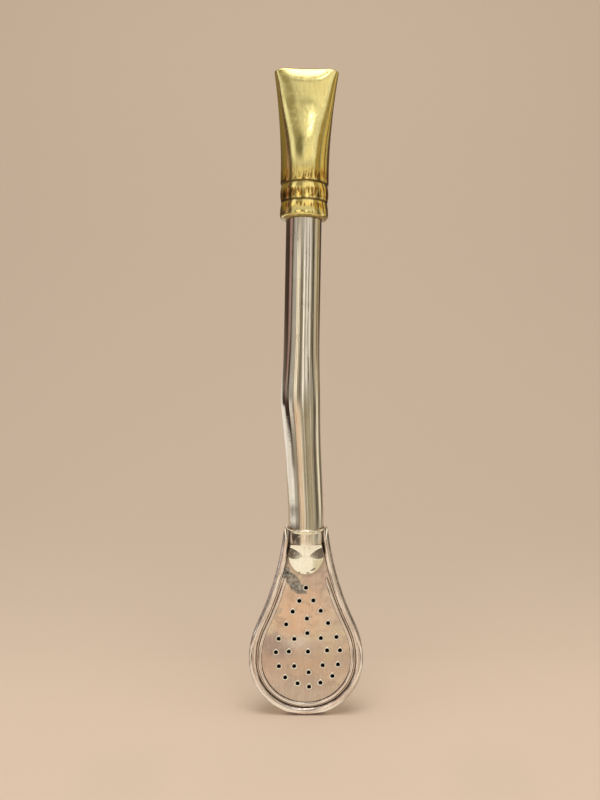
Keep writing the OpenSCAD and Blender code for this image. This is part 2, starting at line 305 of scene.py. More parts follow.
END_LEN = SPIGOT_H + STEP_H + LOWER_LEN
STEM_RUNS = [
    (0.0, 0.0, 0.0, END_LEN),
    (SET_HEADING, SET_TURN, SET_R, SET_R * SET_TURN),
    (0.0, 0.0, 0.0, MID_LEN),
    (KINK_HEADING, KINK_TURN, KINK_R, KINK_R * KINK_TURN),
    (0.0, 0.0, 0.0, BARE_LEN + MOUTH_INSERT),
]
STEM_LEN = sum(run[3] for run in STEM_RUNS)
MOUTH_AT = STEM_LEN - MOUTH_INSERT
KINK_AT = END_LEN + SET_R * SET_TURN + MID_LEN + KINK_R * KINK_TURN / 2


def stem_tube(material):
    """Round section carried up the stem's line and back down the bore; at the main bend the section swells
    sideways and flattens front to back by a bell curve, as a bent tube does, and its left side is let out a
    little just below."""
    low = [0, SPIGOT_H, SPIGOT_H + STEP_H]
    s = np.concatenate([
        np.linspace(*low[:2], 5), np.linspace(*low[1:], 7)[1:], np.linspace(low[2], STEM_LEN, 260)[1:],
    ])
    outer = np.interp(s, low, [TAPER_R, SPIGOT_R, TUBE_R])
    inner = np.interp(s, low, [TAPER_R - SPIGOT_WALL, SPIGOT_R - SPIGOT_WALL, TUBE_R - TUBE_WALL])
    s_loop = np.concatenate([s, s[::-1]])
    r_loop = np.concatenate([outer, inner[::-1]])
    r_loop[[0, len(s) - 1]] -= TUBE_EDGE
    bell = np.exp(-((s_loop - KINK_AT) / BEND_SPAN) ** 2)
    left = BEND_LEFT * np.exp(-np.abs((s_loop - KINK_AT + LEFT_DOWN) / LEFT_SPAN) ** LEFT_POWER)
    a = np.linspace(0, 2 * np.pi, 128, endpoint=False)
    centre, rotation = stem_line(s_loop)
    across = (r_loop + BEND_WIDER * bell)[:, None] * np.cos(a) - left[:, None] * (1 - np.cos(a)) / 2
    deep = (r_loop - BEND_FLATTER * bell)[:, None] * np.sin(a)
    local = np.stack([across, deep, 0 * across], -1)
    points = centre[:, None] + np.einsum("nij,naj->nai", rotation, local)
    lay = np.stack([r_loop[:, None] * np.cos(a), r_loop[:, None] * np.sin(a), s_loop[:, None] + 0 * a], -1)
    piece = make_piece("stem_tube_drawn", points, grid_faces(len(s_loop), len(a), True, True), lay)
    return dress(piece, material, "stem", "stem_metal", "stem_tube")


# Mouthpiece

def in_mouth(points):
    """Carries points from the mouthpiece's own frame to where it sits on the stem."""
    centre, rotation = stem_line(np.array([MOUTH_AT]))
    return centre[0] + points @ rotation[0].T


def shell_section(z, inset, a):
    """Section at height z: a superellipse, round below, that widens across by a power of the height and
    narrows in depth by a steepened ease, with its corners squared toward the mouth."""
    t = np.clip((z - MOUTH_ROUND_H) / (MOUTH_H - MOUTH_ROUND_H), 0, 1)[:, None]
    across = MOUTH_R + (MOUTH_HALF_W - MOUTH_R) * t ** MOUTH_FLARE - inset[:, None]
    fall = smooth(t ** DEEP_RISE)
    fall += DEEP_STEP * (smooth(fall) - fall)
    deep = MOUTH_R + (MOUTH_HALF_D - MOUTH_R) * fall - inset[:, None]
    power = 1 - MOUTH_SQUARE * t ** SQUARE_RISE
    x = across * np.sign(np.cos(a)) * np.abs(np.cos(a)) ** power
    y = deep * np.sign(np.sin(a)) * np.abs(np.sin(a)) ** power
    return np.stack([x, y, z[:, None] + 0 * x], -1)


def soft_edge(steps):
    """Rounded lower edge as inset and height: a quarter of an ellipse from the joint out to the side."""
    a = np.linspace(0, np.pi / 2, steps)
    return np.stack([JOINT_BEVEL * (1 - np.sin(a)), EDGE_H * (1 - np.cos(a))], -1)


def mouthpiece_shell(material):
    """The shell's sections up the outside, over the rounded lip and down the inside; near the mouth the
    broad faces roll inward, most at their middle, and the corners drop a little."""
    lip = MOUTH_WALL / 2
    top = MOUTH_H - lip
    over = np.radians(np.linspace(0, 180, 13))[1:-1]
    foot = soft_edge(8)
    up, down = np.linspace(EDGE_H, top, 90)[1:], np.linspace(top, 0, 40)
    z = np.concatenate([foot[:, 1], up, top + lip * np.sin(over), down])
    inset = np.concatenate([foot[:, 0], 0 * up, lip - lip * np.cos(over), 0 * down + MOUTH_WALL])
    a = np.linspace(0, 2 * np.pi, 192, endpoint=False)
    local = shell_section(z, inset, a)
    share = np.clip(np.abs(local[..., 0]) / MOUTH_HALF_W, 0, 1)
    roll = np.clip((z - MOUTH_H + ROLL_H) / ROLL_H, 0, 1)[:, None] ** ROLL_POWER
    local[..., 1] *= 1 - ROLL_IN * roll * (1 - share ** ROLL_SPREAD)
    up = (np.maximum(z, 0)[:, None] / MOUTH_H) ** CROWN_POWER
    local[..., 2] -= CROWN * smooth((share - CROWN_START) / (1 - CROWN_START)) * up
    local[..., 2] += COLLAR_H + BAND_H
    faces = grid_faces(len(z), len(a), True, True)
    piece = make_piece("mouthpiece_shell_pressed", in_mouth(local), faces, local)
    return dress(piece, material, "mouthpiece", "mouthpiece_brass", "mouthpiece_shell")


def barrel(low, full, high):
    """Side of a ring as radius and height: straight-sided at its fullest height, and drawn in toward both
    edges by the square of the distance from there."""
    z = np.linspace(low, high, 25)
    off = np.where(z > full, (z - full) / (high - full), (full - z) / max(full - low, THINNEST))
    return np.stack([MOUTH_R - RING_BULGE * off ** 2, z], -1)


def mouthpiece_rings(brass, sleeve_metal):
    """Collar, band and sleeve: closed profiles with rounded edges, carried round the mouthpiece's axis."""
    bore = TUBE_R + FIT_GAP
    sleeve_r = bore + SLEEVE_WALL
    seat = sleeve_r + FIT_GAP
    collar = np.concatenate([
        arc((MOUTH_R - COLLAR_ROUND, COLLAR_ROUND), COLLAR_ROUND, -90, 0, 16),
        barrel(COLLAR_ROUND, COLLAR_ROUND, COLLAR_H)[1:],
        [[seat, COLLAR_H], [seat, FLOOR_T], [bore + FIT_GAP, FLOOR_T]],
        arc((bore + FIT_GAP + COLLAR_EASE, COLLAR_EASE), COLLAR_EASE, 180, 270, 6),
    ])
    band = np.concatenate([
        barrel(0, BAND_H / 2, BAND_H), [[seat, BAND_H], [seat, 0]],
    ]) + [0, COLLAR_H]
    top = MOUTH_INSERT + STOP_T
    sleeve = np.array([
        [bore, FLOOR_T], [sleeve_r, FLOOR_T], [sleeve_r, top], [TUBE_R - TUBE_WALL, top],
        [TUBE_R - TUBE_WALL, MOUTH_INSERT], [bore, MOUTH_INSERT],
    ])
    made = [
        ("mouthpiece_collar_turned", collar, brass, "mouthpiece_brass", "mouthpiece_collar"),
        ("mouthpiece_band_turned", band, brass, "mouthpiece_brass", "mouthpiece_band"),
        ("mouthpiece_sleeve_drawn", sleeve, sleeve_metal, "sleeve_metal", "mouthpiece_sleeve"),
    ]
    for name, profile, material, slot, node in made:
        dress(round_piece(name, profile, in_mouth), material, "mouthpiece", slot, node)


# Spoon

def outline_arcs():
    """The three arcs of the right-hand outline as centre, radius, first and last angle, and the way that
    the outside lies: the neck's arc has its centre outside the spoon."""
    shoulder = np.array([SPOON_R - SHOULDER_R, SPOON_R])
    neck = np.array([NECK_HALF, SPOON_H])
    n = np.array([np.cos(NECK_LEAN), np.sin(NECK_LEAN)])
    q = neck - shoulder
    r = (q @ q - SHOULDER_R ** 2) / (2 * (SHOULDER_R - q @ n))
    centre = neck + r * n
    turn = np.arctan2(centre[1] - shoulder[1], centre[0] - shoulder[0])
    return [
        (np.array([0, SPOON_R]), SPOON_R, -np.pi / 2, 0, 1),
        (shoulder, SHOULDER_R, 0, turn, 1),
        (centre, r, np.pi + turn, np.pi + NECK_LEAN, -1),
    ]


def outline(steps):
    """Points and outward directions along the whole edge, from the right of the neck round the tip to the
    left of the neck."""
    points, ways = [], []
    for centre, r, start, end, way in outline_arcs():
        a = np.linspace(start, end, steps, endpoint=False)
        spoke = np.stack([np.cos(a), np.sin(a)], -1)
        points.append(centre + r * spoke)
        ways.append(way * spoke)
    last = np.array([[NECK_HALF, SPOON_H]])
    right = np.concatenate([*points, last])
    way = np.concatenate([*ways, [[np.cos(NECK_LEAN), np.sin(NECK_LEAN)]]])
    flip = np.array([-1, 1])
    return np.concatenate([right[::-1], right[1:] * flip]), np.concatenate([way[::-1], way[1:] * flip])


def half_width(z, inset):
    """Half width of the spoon at each height, inset from its edge."""
    (tip, tip_r, *_), (mid, mid_r, _, turn, _), (top, top_r, *_) = outline_arcs()
    low = np.sqrt(np.maximum(0, (tip_r - inset) ** 2 - (z - tip[1]) ** 2))
    middle = mid[0] + np.sqrt(np.maximum(0, (mid_r - inset) ** 2 - (z - mid[1]) ** 2))
    high = top[0] - np.sqrt(np.maximum(0, (top_r + inset) ** 2 - (z - top[1]) ** 2))
    return np.where(z < SPOON_R, low, np.where(z < SPOON_R + (mid_r - inset) * np.sin(turn), middle, high))


def rim_wire(name, material, node, inset, r, top):
    """Half-round wire: a half circle carried along the spoon's edge at an inset, and drawn down to nothing
    at both ends."""
    edge, way = outline(90)
    middle = edge - inset * way
    keep = middle[:, 1] < top
    middle, way = middle[keep], way[keep]
    from_end = np.minimum(top - middle[:, 1], RIM_FADE) / RIM_FADE
    grow = np.sqrt(np.clip(1 - (1 - from_end) ** 2, THINNEST, 1))
    side, bulge = half_round(17)
    wide = (RIM_END + (1 - RIM_END) * grow)[:, None] * side * r
    x = middle[:, :1] + way[:, :1] * wide
    z = middle[:, 1:] + way[:, 1:] * wide
    points = np.stack([x, -r * grow[:, None] * bulge, z], -1)
    lay = np.stack(np.broadcast_arrays(side, bulge, 0 * wide), -1)
    piece = make_piece(name, points, capped_faces(len(middle), len(side)), lay, sharp=60)
    return dress(piece, material, "spoon", "rim_metal", node)


def spoon_back_shell(material, inside):
    """Half-ellipse sections from a point at the tip up to the neck, outside and inside joined at the seam."""
    def layer(inset):
        rise = 1 - np.cos(np.linspace(0, np.pi / 2, 70))
        z = inset + (SPOON_H - inset) * rise
        low = (BOWL_D - inset) * np.sqrt(np.maximum(0, 1 - ((BOWL_LOW - z) / (BOWL_LOW - inset)) ** 2))
        share = 0.5 + 0.5 * np.cos(np.pi * (z - BOWL_LOW) / (SPOON_H - BOWL_LOW))
        high = NECK_D - inset + (BOWL_D - NECK_D) * share
        depth = np.where(z < BOWL_LOW, low, high)[:, None]
        a = np.linspace(0, np.pi, 65)
        x = half_width(z, inset)[:, None] * np.cos(a)
        return np.stack([x, PLATE_T + depth * np.sin(a), z[:, None] + 0 * a], -1)
    points, faces = two_layers(layer, SHEET_T)
    rows, cols = points.shape[:2]
    faces = np.concatenate([faces, strip_faces((rows - 1) * cols + np.arange(cols))])
    within = faces.min(1) % cols >= cols // 2
    piece = make_piece("spoon_back_shell_pressed", points, faces, second=within)
    return dress(piece, material, "spoon", "spoon_back_metal", "spoon_back_shell", inside=inside)


def neck_pieces(material):
    """Socket and lip: closed profiles carried round the upright axis."""
    more = FIT_GAP + SOCKET_WALL
    base = SOCKET_Z + STOP_T
    step = base + SPIGOT_H
    socket = np.array([
        [NECK_SIDE_R, SOCKET_Z], [NECK_SIDE_R, step - LIP_R / 2], [TUBE_R + more, step + STEP_H - LIP_R / 2],
        [TUBE_R + FIT_GAP, step + STEP_H], [SPIGOT_R + FIT_GAP, step], [TAPER_R + FIT_GAP, base],
        [TAPER_R - SPIGOT_WALL, base], [TAPER_R - SPIGOT_WALL, SOCKET_Z],
    ])
    lip = arc((TUBE_R + FIT_GAP + LIP_R, LIP_Z), LIP_R, 0, 345, 24)
    made = [("neck_socket_turned", socket, "neck_socket"), ("neck_lip_rolled", lip, "neck_lip")]
    for name, profile, node in made:
        dress(round_piece(name, profile), material, "spoon", "neck_metal", node)


def nose_cap(material):
    """Nose below the socket. Its outline swells a little and ends in a half circle. Its height above the
    plate is the soft lowest of its faces: a bowed front under the socket, a flat pressed on each side of
    it, and a tongue that slopes down to a bevel along the half circle. The sides drop straight to the
    plate."""
    nose_z = NOSE_LOW + NOSE_WIDE
    meet_x, meet_z = NOSE_MEET

    def layer(inset):
        t = np.sin(np.linspace(0, np.pi / 2, 110))
        z = (SOCKET_Z - (SOCKET_Z - NOSE_LOW - inset) * t)[:, None]
        up = np.clip((z - nose_z) / (SOCKET_Z - nose_z), 0, 1)
        down = np.clip((nose_z - z) / (NOSE_WIDE - inset), 0, 1)
        across = (NOSE_WIDE - (NOSE_WIDE - NOSE_TOP_R) * up ** 2 - inset) * np.sqrt(1 - down ** 2)
        x = across * np.cos(np.linspace(0, np.pi, 121))
        front = NOSE_TOP_D - NOSE_TOP_BOW * x ** 2
        tip = NOSE_TONGUE_SLOPE * (meet_z - NOSE_LOW) + NOSE_EDGE_H
        flat = tip - NOSE_FLAT_SLOPE[0] * (np.abs(x) - meet_x) + NOSE_FLAT_SLOPE[1] * (z - meet_z)
        half_circle = nose_z - np.sqrt(np.clip(NOSE_WIDE ** 2 - x ** 2, 0, None))
        wide_circle = NOSE_LOW + NOSE_TONGUE_R - np.sqrt(NOSE_TONGUE_R ** 2 - x ** 2)
        tongue = NOSE_TONGUE_SLOPE * (z - wide_circle)
        edge = NOSE_EDGE_SLOPE * (z - half_circle)
        faces = np.stack(np.broadcast_arrays(front, flat, tongue + NOSE_EDGE_H, edge))
        deep = -NOSE_CREASE * np.log(np.exp(-faces / NOSE_CREASE).sum(0))
        deep = np.clip(deep - inset, 0, None)
        x = np.concatenate([x[:, :1], x, x[:, -1:]], 1)
        deep = np.pad(deep, ((0, 0), (1, 1)))
        return np.stack([x, -deep, z + 0 * x], -1)
    points, faces = two_layers(layer, NOSE_WALL)
    faces = np.concatenate([faces, strip_faces(np.arange(points.shape[1]))[:, ::-1]])
    return dress(make_piece("nose_cap_raised", points, faces), material, "spoon", "neck_metal", "nose_cap")


def neck_ears(material):
    """Thin turned-up strip on each side of the socket: a squared half-round section carried down a line
    beside it, standing out more toward the top, and drawn down to nothing at the lower end."""
    t = np.linspace(0, 1, 40)[:, None]
    high = np.array([TUBE_R + EAR_OFF[0], SPOON_H + EAR_OVER])
    low = np.array([NECK_SIDE_R + EAR_OFF[1], EAR_LOW])
    middle = high + (low - high) * t
    grow = np.sqrt(np.clip(1 - t ** 3, THINNEST, 1)) * EAR_R
    side, bulge = half_round(13)
    bulge = np.sqrt(bulge.clip(0))
    stand = (EAR_STAND + EAR_LEAN * (middle[:, 1:] - EAR_LOW)) * grow / EAR_R
    right = np.stack([middle[:, :1] + grow * side, -stand * bulge, middle[:, 1:] + 0 * side], -1)
    both = np.stack([right, right * [-1, 1, 1]])
    faces = capped_faces(len(t), len(side))
    faces = np.concatenate([faces, faces[:, ::-1] + right[..., 0].size])
    piece = make_piece("neck_ears", both, faces, sharp=60)
    return dress(piece, material, "spoon", "neck_metal")


def hole_places():
    """Centres of the holes: each row on both sides of the middle, leaned about the top hole."""
    rows = np.array(HOLE_ROWS)
    paired = rows[rows[:, 0] > 0] * [-1, 1]
    spots = np.concatenate([rows, paired]) - [0, rows[0, 1]]
    c, s = np.cos(HOLE_LEAN), np.sin(HOLE_LEAN)
    return np.stack([c * spots[:, 0] - s * spots[:, 1], HOLE_TOP + s * spots[:, 0] + c * spots[:, 1]], -1)


def hole_burrs(material):
    """Thin raised ring round each hole: a low rounded profile carried round, repeated at every hole."""
    profile = np.array(BURR) + [HOLE_R, 0]
    ring = revolve(profile, BURR_STEPS)
    spots = np.insert(hole_places(), 1, 0, axis=1)
    points = spots[:, None, None] + ring[..., [0, 2, 1]]
    faces = grid_faces(len(profile), BURR_STEPS, True, True)
    every = (faces + np.arange(len(spots))[:, None, None] * ring[..., 0].size).reshape(-1, 4)
    piece = make_piece("hole_burrs", points, every, sharp=80)
    return dress(piece, material, "spoon", "spoon_plate_metal")


# Material helpers

def add(tree, kind, **values):
    """New node; a value whose name is an input fills that input, and any other sets a property."""
    node = tree.nodes.new(kind)
    for key, value in values.items():
        if key in node.inputs:
            node.inputs[key].default_value = value
        else:
            setattr(node, key, value)
    return node


def join(tree, source, target):
    """Links an output to an input; a plain number or colour is set on the input instead."""
    if isinstance(source, tuple):
        target.default_value = (*source, 1)
    elif isinstance(source, (int, float)):
        target.default_value = source
    else:
        tree.links.new(source, target)


def passed(tree, source, kind, **values):
    """New node with a source on its first input; gives the node's outputs."""
    node = add(tree, kind, **values)
    join(tree, source, node.inputs[0])
    return node.outputs


def mapped(tree, source, scale, place=(0, 0, 0)):
    """A pattern's coordinates stretched by a scale and shifted."""
    return passed(tree, source, "ShaderNodeMapping", Scale=scale, Location=place)[0]


def noise(tree, source, fine, detail=3.0, rough=0.55, warp=0.0):
    """Soft noise of a given fineness, detail and roughness, bent by warp."""
    values = {"Scale": fine, "Detail": detail, "Roughness": rough, "Distortion": warp}
    return passed(tree, source, "ShaderNodeTexNoise", **values)[0]


def ramp(tree, source, low, high, bottom=0.0, top=1.0):
    """A value carried smoothly from low to high onto bottom to top, and held outside."""
    limits = {"From Min": low, "From Max": high, "To Min": bottom, "To Max": top}
    return passed(tree, source, "ShaderNodeMapRange", interpolation_type="SMOOTHSTEP", **limits)[0]


def sums(tree, kind, first, second=0.0):
    """Two values put together by a kind of sum; either may be a plain number."""
    node = add(tree, "ShaderNodeMath", operation=kind)
    join(tree, first, node.inputs[0])
    join(tree, second, node.inputs[1])
    return node.outputs[0]


def times(tree, first, second):
    """Two values multiplied."""
    return sums(tree, "MULTIPLY", first, second)


def plus(tree, first, second):
    """Two values added."""
    return sums(tree, "ADD", first, second)


def away(tree, value, middle=0.0):
    """How far a value lies from a middle, to either side."""
    return sums(tree, "ABSOLUTE", sums(tree, "SUBTRACT", value, middle))


def axis(tree, place, name):
    """One coordinate of a place, in millimetres."""
    return times(tree, passed(tree, place, "ShaderNodeSeparateXYZ")[name], 1 / MM)


def blend(tree, mask, first, second, share=1.0):
    """Colour that goes from the first toward the second with a share of a mask."""
    node = add(tree, "ShaderNodeMix", data_type="RGBA")
    for source, slot in ((times(tree, mask, share), 0), (first, 6), (second, 7)):
        join(tree, source, node.inputs[slot])
    return node.outputs[2]


def stain_and_shade(tree, along, colour, tint, place, half, lean, uneven, edge, strength):
    """A colour with one mark on it, a tarnish spot, a pit or a patch of painted shade or reflection: a
    leaning ellipse in x and z, full at its middle, with its edge broken by noise."""
    form = {
        "Location": (place[0] * MM, 0, place[1] * MM),
        "Rotation": (0, np.radians(lean), 0),
        "Scale": (half[0] * MM, 1, half[1] * MM),
    }
    place = passed(tree, along, "ShaderNodeMapping", vector_type="TEXTURE", **form)[0]
    ball = passed(tree, place, "ShaderNodeTexGradient", gradient_type="SPHERICAL")["Fac"]
    ragged = sums(tree, "SUBTRACT", noise(tree, along, 300.0, 6.0, 0.68, 0.8), 0.5)
    mask = plus(tree, ball, times(tree, ragged, uneven))
    return blend(tree, ramp(tree, mask, *edge, 0.0, strength), colour, tint)


def new_group(name, outputs):
    """Empty shader group that takes the place along a piece and puts out named values."""
    tree = bpy.data.node_groups.new(name, "ShaderNodeTree")
    tree.interface.new_socket("Along", in_out="INPUT", socket_type="NodeSocketVector")
    for label in outputs:
        tree.interface.new_socket(label, in_out="OUTPUT", socket_type="NodeSocketFloat")
    return tree, tree.nodes.new("NodeGroupInput").outputs[0], tree.nodes.new("NodeGroupOutput")


# Scratches: how the noise of each set is stretched and shifted. Tarnish: each pattern's name, its noise as
# fineness, detail, roughness and warp, and the values between which it shows
SCRATCH_SETS = [((900, 900, 26), (0, 0, 0)), ((420, 420, 90), (3, 1, 7)), ((60, 60, 1500), (5, 2, 1))]
TARNISH_SETS = [
    ("Clouds", (95.0, 4.0, 0.6, 0.8), (0.36, 0.66)),
    ("Blotches", (330.0, 5.0, 0.65, 1.2), (0.44, 0.7)),
    ("Specks", (2400.0, 2.0, 0.5, 0.0), (0.62, 0.72)),
]


def scratch_group():
    """Fine scratches: thin lines where stretched noise crosses its middle. The first set lies all over, and
    the other two show in patches."""
    tree, along, target = new_group("fine_scratches", ["Lines", "Height"])
    lines = []
    for scale, place in SCRATCH_SETS:
        value = noise(tree, mapped(tree, along, scale, place), 1.0, 2.0, 0.5, 0.4)
        lines.append(ramp(tree, away(tree, value, 0.5), 0.004, 0.03, 1.0, 0.0))
    patches = ramp(tree, noise(tree, along, 190.0), 0.42, 0.68)
    cross = times(tree, plus(tree, lines[1], times(tree, lines[2], 0.4)), patches)
    both = plus(tree, times(tree, lines[0], 0.6), cross)
    join(tree, sums(tree, "MINIMUM", both, 1.0), target.inputs["Lines"])
    grain = noise(tree, mapped(tree, along, (2600, 2600, 60)), 1.0, 2.0)
    join(tree, sums(tree, "SUBTRACT", times(tree, grain, 0.5), both), target.inputs["Height"])
    return tree


def tarnish_group():
    """Tarnish: broad clouds, small blotches and fine specks from noise at three sizes."""
    tree, along, target = new_group("tarnish", [label for label, *_ in TARNISH_SETS])
    for label, pattern, shown in TARNISH_SETS:
        join(tree, ramp(tree, noise(tree, along, *pattern), *shown), target.inputs[label])
    return tree


SCRATCHES = scratch_group()
TARNISH = tarnish_group()
RELIEF = 0.00002


def new_material(name):
    """Empty material with nodes, and its tree."""
    material = bpy.data.materials.new(name)
    material.use_nodes = True
    return material, material.node_tree


def lay_of(tree):
    """Place on the unbent piece."""
    return add(tree, "ShaderNodeAttribute", attribute_name="lay").outputs["Vector"]


def start_metal(name, laid):
    """New metal: its material, its tree, its coordinates and the outputs of the two shared effects."""
    material, tree = new_material(name)
    tree.nodes["Principled BSDF"].inputs["Metallic"].default_value = 1.0
    along = lay_of(tree) if laid else add(tree, "ShaderNodeTexCoord").outputs["Object"]
    effects = [passed(tree, along, "ShaderNodeGroup", node_tree=group) for group in (SCRATCHES, TARNISH)]
    return material, tree, along, *effects


def fine_marks(tree, scratch, tarnish, lines, specks):
    """Mask of the scratches and the specks, a share of each."""
    return sums(tree, "MAXIMUM", times(tree, scratch["Lines"], lines), times(tree, tarnish["Specks"], specks))


def finish_metal(material, colour, wear, rough, height, depth):
    """Puts a metal's colour, roughness and fine relief on its shader; rough is how much wear is full wear,
    and the roughness without and with it."""
    tree = material.node_tree
    full, low, high = rough
    relief = add(tree, "ShaderNodeBump", Strength=depth, Distance=RELIEF)
    join(tree, height, relief.inputs["Height"])
    worn = ramp(tree, wear, 0.0, full, low, high)
    for source, label in ((colour, "Base Color"), (worn, "Roughness"), (relief.outputs[0], "Normal")):
        join(tree, source, tree.nodes["Principled BSDF"].inputs[label])
    return material


# Metals

def polished_metal(name, laid, bright, dull, marks, rough, rough_more, depth, drawn=0.0):
    """Polished metal: a bright colour that clouds toward a dull one, with marks in the scratches and specks;
    roughness rises where it is blotched or scratched. Drawn metal has long shallow waves and fine dark
    threads along it."""
    material, tree, along, scratch, tarnish = start_metal(name, laid)
    colour = blend(tree, tarnish["Clouds"], bright, dull, 0.6)
    colour = blend(tree, fine_marks(tree, scratch, tarnish, 0.35, 0.35), colour, marks)
    height = scratch["Height"]
    if drawn:
        waves = noise(tree, mapped(tree, along, (800, 800, 4)), 1.0, 3.0, 0.6)
        height = plus(tree, height, times(tree, waves, drawn))
        threads = noise(tree, mapped(tree, along, (2000, 2000, 7)), 1.0, 2.0, 0.6)
        colour = blend(tree, ramp(tree, threads, 0.44, 0.66), colour, marks, 0.4)
    wear = plus(tree, times(tree, tarnish["Blotches"], 0.6), times(tree, scratch["Lines"], 0.35))
    return finish_metal(material, colour, wear, (1.0, rough, rough + rough_more), height, depth)


# Painted shade of the neck in its corner at the plate, in millimetres: where it ends in front of the plate,
# starts below and stops above
NECK_SHADE_FRONT = (-2.7, -1.3)
NECK_SHADE_LOW = (46.0, 48.5)
NECK_SHADE_TOP = (54.6, 55.1)
PIT_TINT = (0.10, 0.09, 0.06)


def neck_metal(name, pits):
    """Polished metal of the neck: painted shade in the corner between neck and plate, and small pits."""
    material, tree, along, scratch, tarnish = start_metal(name, False)
    colour = blend(tree, tarnish["Clouds"], (0.95, 0.90, 0.78), (0.88, 0.81, 0.68), 0.5)
    near = ramp(tree, axis(tree, along, "Y"), *NECK_SHADE_FRONT)
    high = axis(tree, along, "Z")
    zone = times(tree, ramp(tree, high, *NECK_SHADE_LOW), ramp(tree, high, *NECK_SHADE_TOP, 1.0, 0.0))
    # Painted shade: darker in the corner where the neck pieces meet the plate
    darkened = times(tree, times(tree, near, zone), 0.95)
    colour = blend(tree, darkened, colour, (0.05, 0.04, 0.03))
    for pit in pits:
        colour = stain_and_shade(tree, along, colour, PIT_TINT, *pit, 1.0, (0.15, 0.4), 0.9)
    colour = blend(tree, fine_marks(tree, scratch, tarnish, 0.2, 0.3), colour, (0.42, 0.38, 0.32))
    wear = plus(tree, times(tree, tarnish["Blotches"], 0.6), darkened)
    return finish_metal(material, colour, wear, (1.0, 0.06, 0.3), scratch["Height"], 0.1)


# Mottle of the plate: fineness, shift and tint. Stains and painted shade: tint, place and half size in
# millimetres, lean in degrees, how uneven the edge is, the values between which it fades in, and strength;
# burnt ones share a tint
PLATE_MOTTLE = [(190.0, (0, 0, 0), (0.60, 0.51, 0.49)), (150.0, (3, 1, 5), (0.76, 0.62, 0.42))]
PLATE_STAINS_AND_SHADE = [
    ((0.74, 0.48, 0.33), (-2.5, 31.0), (9.5, 12.0), 20, 0.9, (0.00, 0.60), 0.80),
    ((0.72, 0.52, 0.42), (-7.0, 12.5), (7.0, 7.0), 0, 0.9, (0.00, 0.60), 0.50),
    ((0.71, 0.61, 0.47), (7.5, 22.0), (5.0, 12.0), 0, 0.9, (0.00, 0.60), 0.40),
    ((0.42, 0.32, 0.30), (-8.6, 20.5), (6.5, 4.5), 15, 1.2, (0.00, 0.55), 0.85),
    ((0.80, 0.73, 0.68), (-2.2, 21.6), (6.0, 3.0), -8, 2.2, (0.05, 0.80), 0.60),
    ((0.74, 0.53, 0.39), (3.0, 11.0), (9.0, 7.0), 0, 1.2, (0.00, 0.60), 0.55),
    ((0.73, 0.51, 0.37), (4.5, 28.5), (5.5, 7.0), 0, 1.2, (0.00, 0.60), 0.45),
    ((0.64, 0.46, 0.38), (4.0, 40.0), (4.5, 4.0), -35, 0.9, (0.00, 0.50), 0.50),
    # Painted shade: a brown ring round the nose's foot and a dark wedge to its left
    ((0.34, 0.24, 0.18), (0.0, 46.8), (6.4, 6.4), 0, 0.12, (0.00, 0.17), 0.60),
    ((0.14, 0.12, 0.10), (-6.0, 46.0), (1.5, 4.5), 8, 0.5, (0.10, 0.50), 0.85),
    # Painted shade: darker low on the plate
    ((0.46, 0.35, 0.29), (0.0, 6.5), (16.0, 8.5), 0, 0.7, (0.00, 0.60), 0.70),
]
PLATE_BURNT = [
    ((-3.7, 39.9), (4.9, 2.1), 42, 1.0, (0.12, 0.42), 0.92),
    ((-5.8, 42.2), (1.4, 2.2), 20, 0.9, (0.05, 0.45), 0.9),
    ((-2.1, 37.6), (3.2, 2.1), 30, 1.0, (0.08, 0.42), 0.92),
]
PLATE_CORNER_SHADE = (46.0, 49.5)


def plate_metal():
    """Spoon plate: tan metal clouded brown and mottled with mauve and straw, under soft stains and painted
    shade round the nose, left of it and low on the plate, with a burnt grey patch between the nose and the
    top hole, painted shade in the corners of the neck and a fine grain."""
    material, tree, along, scratch, tarnish = start_metal("spoon_plate_tarnished", False)
    colour = blend(tree, tarnish["Clouds"], (0.71, 0.56, 0.44), (0.57, 0.43, 0.35))
    for scale, place, tint in PLATE_MOTTLE:
        patches = noise(tree, mapped(tree, along, (1, 1, 1), place), scale, 5.0, 0.66, 1.0)
        colour = blend(tree, ramp(tree, patches, 0.50, 0.64), colour, tint, 0.55)
    for tint, *form in PLATE_STAINS_AND_SHADE:
        colour = stain_and_shade(tree, along, colour, tint, *form)
    ash = ramp(tree, noise(tree, along, 800.0, 5.0, 0.65, 0.6), 0.40, 0.62)
    burnt = blend(tree, ash, (0.06, 0.06, 0.06), (0.31, 0.31, 0.29))
    for form in PLATE_BURNT:
        colour = stain_and_shade(tree, along, colour, burnt, *form)
    # Painted shade in the corners beside the neck
    corner_shade = ramp(tree, axis(tree, along, "Z"), *PLATE_CORNER_SHADE)
    colour = blend(tree, corner_shade, colour, (0.12, 0.10, 0.08), 0.92)
    colour = blend(tree, tarnish["Blotches"], colour, (0.50, 0.39, 0.32), 0.5)
    colour = blend(tree, scratch["Lines"], colour, (0.86, 0.78, 0.68), 0.2)
    wear = plus(tree, times(tree, tarnish["Clouds"], 0.5), tarnish["Blotches"])
    height = plus(tree, scratch["Height"], times(tree, tarnish["Clouds"], 2.0))
    return finish_metal(material, colour, wear, (1.5, 0.24, 0.42), height, 0.25)


# Marks on the rim wires as shares of half their width: darker toward the edges and a dark hair line in the
# middle
WIRE_DARK_EDGE = (0.56, 0.92)
WIRE_HAIR = (0.04, 0.16)
WIRE_UNEVEN = 0.6


